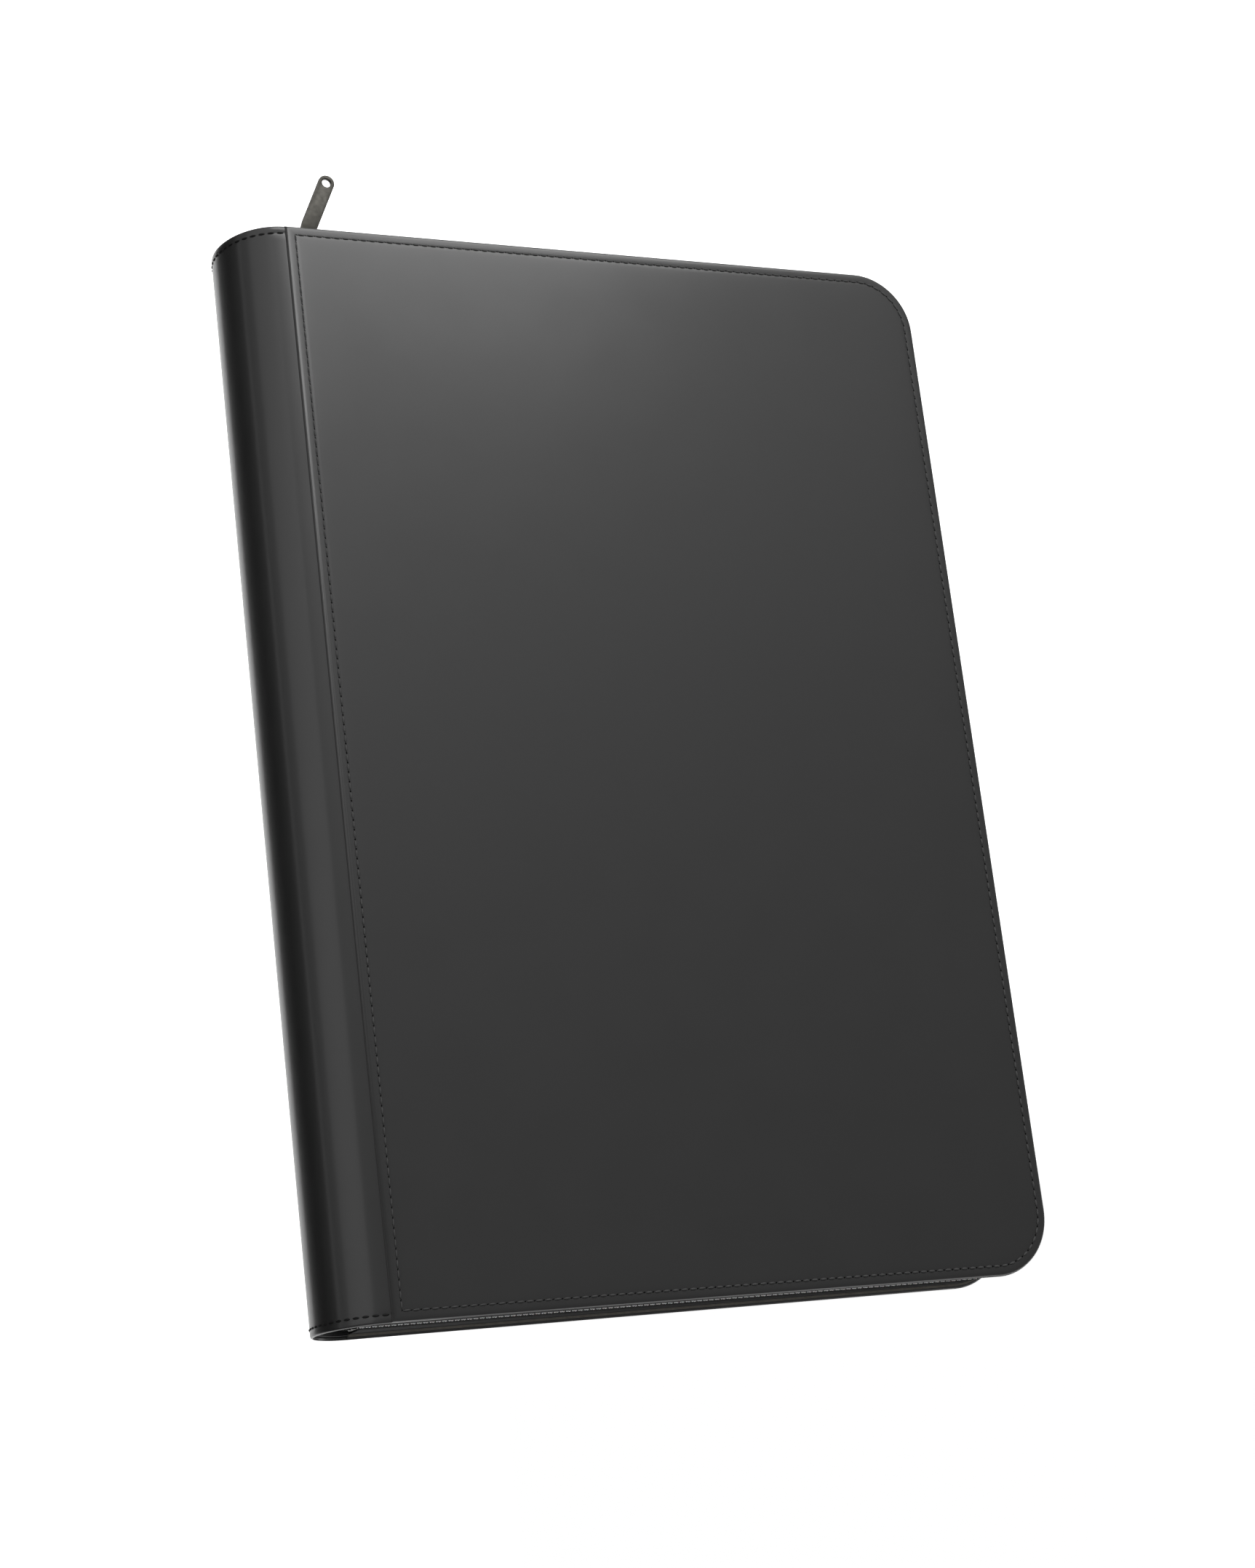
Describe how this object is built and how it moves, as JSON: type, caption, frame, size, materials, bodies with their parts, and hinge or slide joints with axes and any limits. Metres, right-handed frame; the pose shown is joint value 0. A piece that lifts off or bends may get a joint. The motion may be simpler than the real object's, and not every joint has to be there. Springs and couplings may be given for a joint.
{
  "type": "trading card binder",
  "caption": "Zip-up trading card binder with a rounded flexible spine, a stack of side-loading pocket pages and a zip round three sides with a long metal pull.",
  "frame": {"origin": "middle of the back cover's flat outer face", "axes": "+X from the spine to the opening edge, +Y from foot to head along the spine, +Z out of the front cover, with the closed binder lying on its back cover"},
  "size_m": [0.2434, 0.3743, 0.044],
  "materials": {
    "black_pu": "satin matte smooth synthetic leather",
    "greyboard": "uncoated greyboard",
    "lining_fabric": "fine woven polyester",
    "woven_tape": "woven polyester zip tape",
    "zip_nylon": "moulded nylon coil",
    "gunmetal": "gunmetal plated zinc",
    "page_film": "clear polypropylene film on a black backing sheet",
    "binding_film": "welded and sewn page edges"
  },
  "bodies": {
    "spine_3": {"spine_wrap_3": "black_pu", "spine_lining_3": "lining_fabric", "page_binding": "binding_film"},
    "back_cover": {"back_outer_panel": "black_pu", "back_board": "greyboard", "back_lining": "lining_fabric", "back_gusset_wall": "black_pu", "back_zip_tape": "woven_tape", "back_zip_teeth": "zip_nylon", "back_zip_stop_foot": "gunmetal", "back_zip_stop_head": "gunmetal"},
    "front_cover": {"front_outer_panel": "black_pu", "front_board": "greyboard", "front_lining": "lining_fabric", "front_gusset_wall": "black_pu", "front_zip_tape": "woven_tape", "front_zip_teeth": "zip_nylon", "front_zip_stop_foot": "gunmetal", "front_zip_stop_head": "gunmetal"},
    "spine_1": {"spine_wrap_1": "black_pu", "spine_lining_1": "lining_fabric"},
    "spine_2": {"spine_wrap_2": "black_pu", "spine_lining_2": "lining_fabric"},
    "spine_4": {"spine_wrap_4": "black_pu", "spine_lining_4": "lining_fabric"},
    "spine_5": {"spine_wrap_5": "black_pu", "spine_lining_5": "lining_fabric"},
    "page_01": {"page_01": "page_film"},
    "page_02": {"page_02": "page_film"},
    "page_03": {"page_03": "page_film"},
    "page_04": {"page_04": "page_film"},
    "page_05": {"page_05": "page_film"},
    "page_06": {"page_06": "page_film"},
    "page_07": {"page_07": "page_film"},
    "page_08": {"page_08": "page_film"},
    "page_09": {"page_09": "page_film"},
    "page_10": {"page_10": "page_film"},
    "page_11": {"page_11": "page_film"},
    "page_12": {"page_12": "page_film"},
    "page_13": {"page_13": "page_film"},
    "page_14": {"page_14": "page_film"},
    "page_15": {"page_15": "page_film"},
    "page_16": {"page_16": "page_film"},
    "page_17": {"page_17": "page_film"},
    "page_18": {"page_18": "page_film"},
    "page_19": {"page_19": "page_film"},
    "page_20": {"page_20": "page_film"},
    "spine_end_web_foot": {"spine_end_web_foot": "lining_fabric"},
    "spine_end_web_head": {"spine_end_web_head": "lining_fabric"},
    "zip_slider": {"zip_slider": "gunmetal"},
    "pull_link": {"pull_link": "gunmetal"},
    "pull_tab": {"pull_tab": "gunmetal"}
  },
  "joints": [
    {"name": "page_turn_10", "type": "hinge", "parent": "spine_3", "child": "page_10", "pos_m": [-0.11177, 0, 0.0214], "axis": [0, -1, 0], "range_deg": [-90.93, 0]},
    {"name": "page_turn_09", "type": "hinge", "parent": "spine_3", "child": "page_09", "pos_m": [-0.1129, 0, 0.02033], "axis": [0, -1, 0], "range_deg": [-90.98, 0]},
    {"name": "page_turn_08", "type": "hinge", "parent": "spine_3", "child": "page_08", "pos_m": [-0.11403, 0, 0.01926], "axis": [0, -1, 0], "range_deg": [-90.98, 0]},
    {"name": "page_turn_07", "type": "hinge", "parent": "spine_3", "child": "page_07", "pos_m": [-0.11517, 0, 0.0182], "axis": [0, -1, 0], "range_deg": [-90.98, 0]},
    {"name": "page_turn_06", "type": "hinge", "parent": "spine_3", "child": "page_06", "pos_m": [-0.1163, 0, 0.01713], "axis": [0, -1, 0], "range_deg": [-90.98, 0]},
    {"name": "page_turn_05", "type": "hinge", "parent": "spine_3", "child": "page_05", "pos_m": [-0.11743, 0, 0.01606], "axis": [0, -1, 0], "range_deg": [-90.98, 0]},
    {"name": "page_turn_04", "type": "hinge", "parent": "spine_3", "child": "page_04", "pos_m": [-0.11856, 0, 0.01499], "axis": [0, -1, 0], "range_deg": [-90.98, 0]},
    {"name": "page_turn_03", "type": "hinge", "parent": "spine_3", "child": "page_03", "pos_m": [-0.11969, 0, 0.01392], "axis": [0, -1, 0], "range_deg": [-90.98, 0]},
    {"name": "page_turn_02", "type": "hinge", "parent": "spine_3", "child": "page_02", "pos_m": [-0.12082, 0, 0.01286], "axis": [0, -1, 0], "range_deg": [-90.98, 0]},
    {"name": "page_turn_01", "type": "hinge", "parent": "spine_3", "child": "page_01", "pos_m": [-0.12195, 0, 0.01179], "axis": [0, -1, 0], "range_deg": [-90.98, 0]},
    {"name": "page_turn_11", "type": "hinge", "parent": "spine_3", "child": "page_11", "pos_m": [-0.11174, 0, 0.0225], "axis": [0, -1, 0], "range_deg": [0, 90.98]},
    {"name": "page_turn_12", "type": "hinge", "parent": "spine_3", "child": "page_12", "pos_m": [-0.11281, 0, 0.02363], "axis": [0, -1, 0], "range_deg": [0, 90.98]},
    {"name": "page_turn_13", "type": "hinge", "parent": "spine_3", "child": "page_13", "pos_m": [-0.11388, 0, 0.02476], "axis": [0, -1, 0], "range_deg": [0, 90.98]},
    {"name": "page_turn_14", "type": "hinge", "parent": "spine_3", "child": "page_14", "pos_m": [-0.11495, 0, 0.02589], "axis": [0, -1, 0], "range_deg": [0, 90.98]},
    {"name": "page_turn_15", "type": "hinge", "parent": "spine_3", "child": "page_15", "pos_m": [-0.11601, 0, 0.02702], "axis": [0, -1, 0], "range_deg": [0, 90.98]},
    {"name": "page_turn_16", "type": "hinge", "parent": "spine_3", "child": "page_16", "pos_m": [-0.11708, 0, 0.02815], "axis": [0, -1, 0], "range_deg": [0, 90.98]},
    {"name": "page_turn_17", "type": "hinge", "parent": "spine_3", "child": "page_17", "pos_m": [-0.11815, 0, 0.02929], "axis": [0, -1, 0], "range_deg": [0, 90.98]},
    {"name": "page_turn_18", "type": "hinge", "parent": "spine_3", "child": "page_18", "pos_m": [-0.11922, 0, 0.03042], "axis": [0, -1, 0], "range_deg": [0, 90.98]},
    {"name": "page_turn_19", "type": "hinge", "parent": "spine_3", "child": "page_19", "pos_m": [-0.12029, 0, 0.03155], "axis": [0, -1, 0], "range_deg": [0, 90.98]},
    {"name": "page_turn_20", "type": "hinge", "parent": "spine_3", "child": "page_20", "pos_m": [-0.12135, 0, 0.03268], "axis": [0, -1, 0], "range_deg": [0, 90.98]},
    {"name": "spine_fold_3", "type": "hinge", "parent": "spine_3", "child": "spine_2", "pos_m": [-0.129, 0, 0.01657], "axis": [0, 1, 0], "range_deg": [0, 27.68]},
    {"name": "spine_fold_2", "type": "hinge", "parent": "spine_2", "child": "spine_1", "pos_m": [-0.12386, 0, 0.00604], "axis": [0, 1, 0], "range_deg": [0, 38.15]},
    {"name": "back_cover_fold", "type": "hinge", "parent": "spine_1", "child": "back_cover", "pos_m": [-0.1135, 0, 0.001], "axis": [0, 1, 0], "range_deg": [0, 25.96]},
    {"name": "spine_fold_4", "type": "hinge", "parent": "spine_3", "child": "spine_4", "pos_m": [-0.12866, 0, 0.02831], "axis": [0, -1, 0], "range_deg": [0, 27.68]},
    {"name": "spine_fold_5", "type": "hinge", "parent": "spine_4", "child": "spine_5", "pos_m": [-0.12293, 0, 0.03853], "axis": [0, -1, 0], "range_deg": [0, 38.15]},
    {"name": "front_cover_fold", "type": "hinge", "parent": "spine_5", "child": "front_cover", "pos_m": [-0.1123, 0, 0.04297], "axis": [0, -1, 0], "range_deg": [0, 25.96]},
    {"name": "end_web_foot_fold", "type": "hinge", "parent": "spine_3", "child": "spine_end_web_foot", "pos_m": [-0.12613, -0.1685, 0.02236], "axis": [0.0286, 0, 0.9996], "range_deg": [0, 90.05]},
    {"name": "end_web_head_fold", "type": "hinge", "parent": "spine_3", "child": "spine_end_web_head", "pos_m": [-0.12613, 0.1685, 0.02236], "axis": [-0.0286, 0, -0.9996], "range_deg": [0, 90.05]},
    {"name": "zip_slide", "type": "slide", "parent": "back_cover", "child": "zip_slider", "axis": [0.9996, 0, -0.0286], "range_m": [0, 0.188]},
    {"name": "link_swing", "type": "hinge", "parent": "zip_slider", "child": "pull_link", "pos_m": [-0.10001, 0.1739, 0.02161], "axis": [-0.0286, 0, -0.9996], "range_deg": [-60, 30]},
    {"name": "tab_swing", "type": "hinge", "parent": "pull_link", "child": "pull_tab", "pos_m": [-0.09832, 0.18018, 0.02157], "axis": [-0.0286, 0, -0.9996], "range_deg": [-50, 30]}
  ],
  "couplings": [
    {"joint": "page_turn_09", "follows": "page_turn_10", "ratio": 1},
    {"joint": "page_turn_08", "follows": "page_turn_10", "ratio": 1},
    {"joint": "page_turn_07", "follows": "page_turn_10", "ratio": 1},
    {"joint": "page_turn_06", "follows": "page_turn_10", "ratio": 1},
    {"joint": "page_turn_05", "follows": "page_turn_10", "ratio": 1},
    {"joint": "page_turn_04", "follows": "page_turn_10", "ratio": 1},
    {"joint": "page_turn_03", "follows": "page_turn_10", "ratio": 1},
    {"joint": "page_turn_02", "follows": "page_turn_10", "ratio": 1},
    {"joint": "page_turn_01", "follows": "page_turn_10", "ratio": 1},
    {"joint": "page_turn_11", "follows": "page_turn_10", "ratio": -1},
    {"joint": "page_turn_12", "follows": "page_turn_10", "ratio": -1},
    {"joint": "page_turn_13", "follows": "page_turn_10", "ratio": -1},
    {"joint": "page_turn_14", "follows": "page_turn_10", "ratio": -1},
    {"joint": "page_turn_15", "follows": "page_turn_10", "ratio": -1},
    {"joint": "page_turn_16", "follows": "page_turn_10", "ratio": -1},
    {"joint": "page_turn_17", "follows": "page_turn_10", "ratio": -1},
    {"joint": "page_turn_18", "follows": "page_turn_10", "ratio": -1},
    {"joint": "page_turn_19", "follows": "page_turn_10", "ratio": -1},
    {"joint": "page_turn_20", "follows": "page_turn_10", "ratio": -1},
    {"joint": "spine_fold_3", "follows": "page_turn_10", "ratio": -0.30385},
    {"joint": "spine_fold_2", "follows": "page_turn_10", "ratio": -0.419},
    {"joint": "back_cover_fold", "follows": "page_turn_10", "ratio": -0.28493},
    {"joint": "spine_fold_4", "follows": "page_turn_10", "ratio": -0.30385},
    {"joint": "spine_fold_5", "follows": "page_turn_10", "ratio": -0.419},
    {"joint": "front_cover_fold", "follows": "page_turn_10", "ratio": -0.28493},
    {"joint": "end_web_foot_fold", "follows": "page_turn_10", "ratio": -0.98975},
    {"joint": "end_web_head_fold", "follows": "page_turn_10", "ratio": -0.98975}
  ]
}
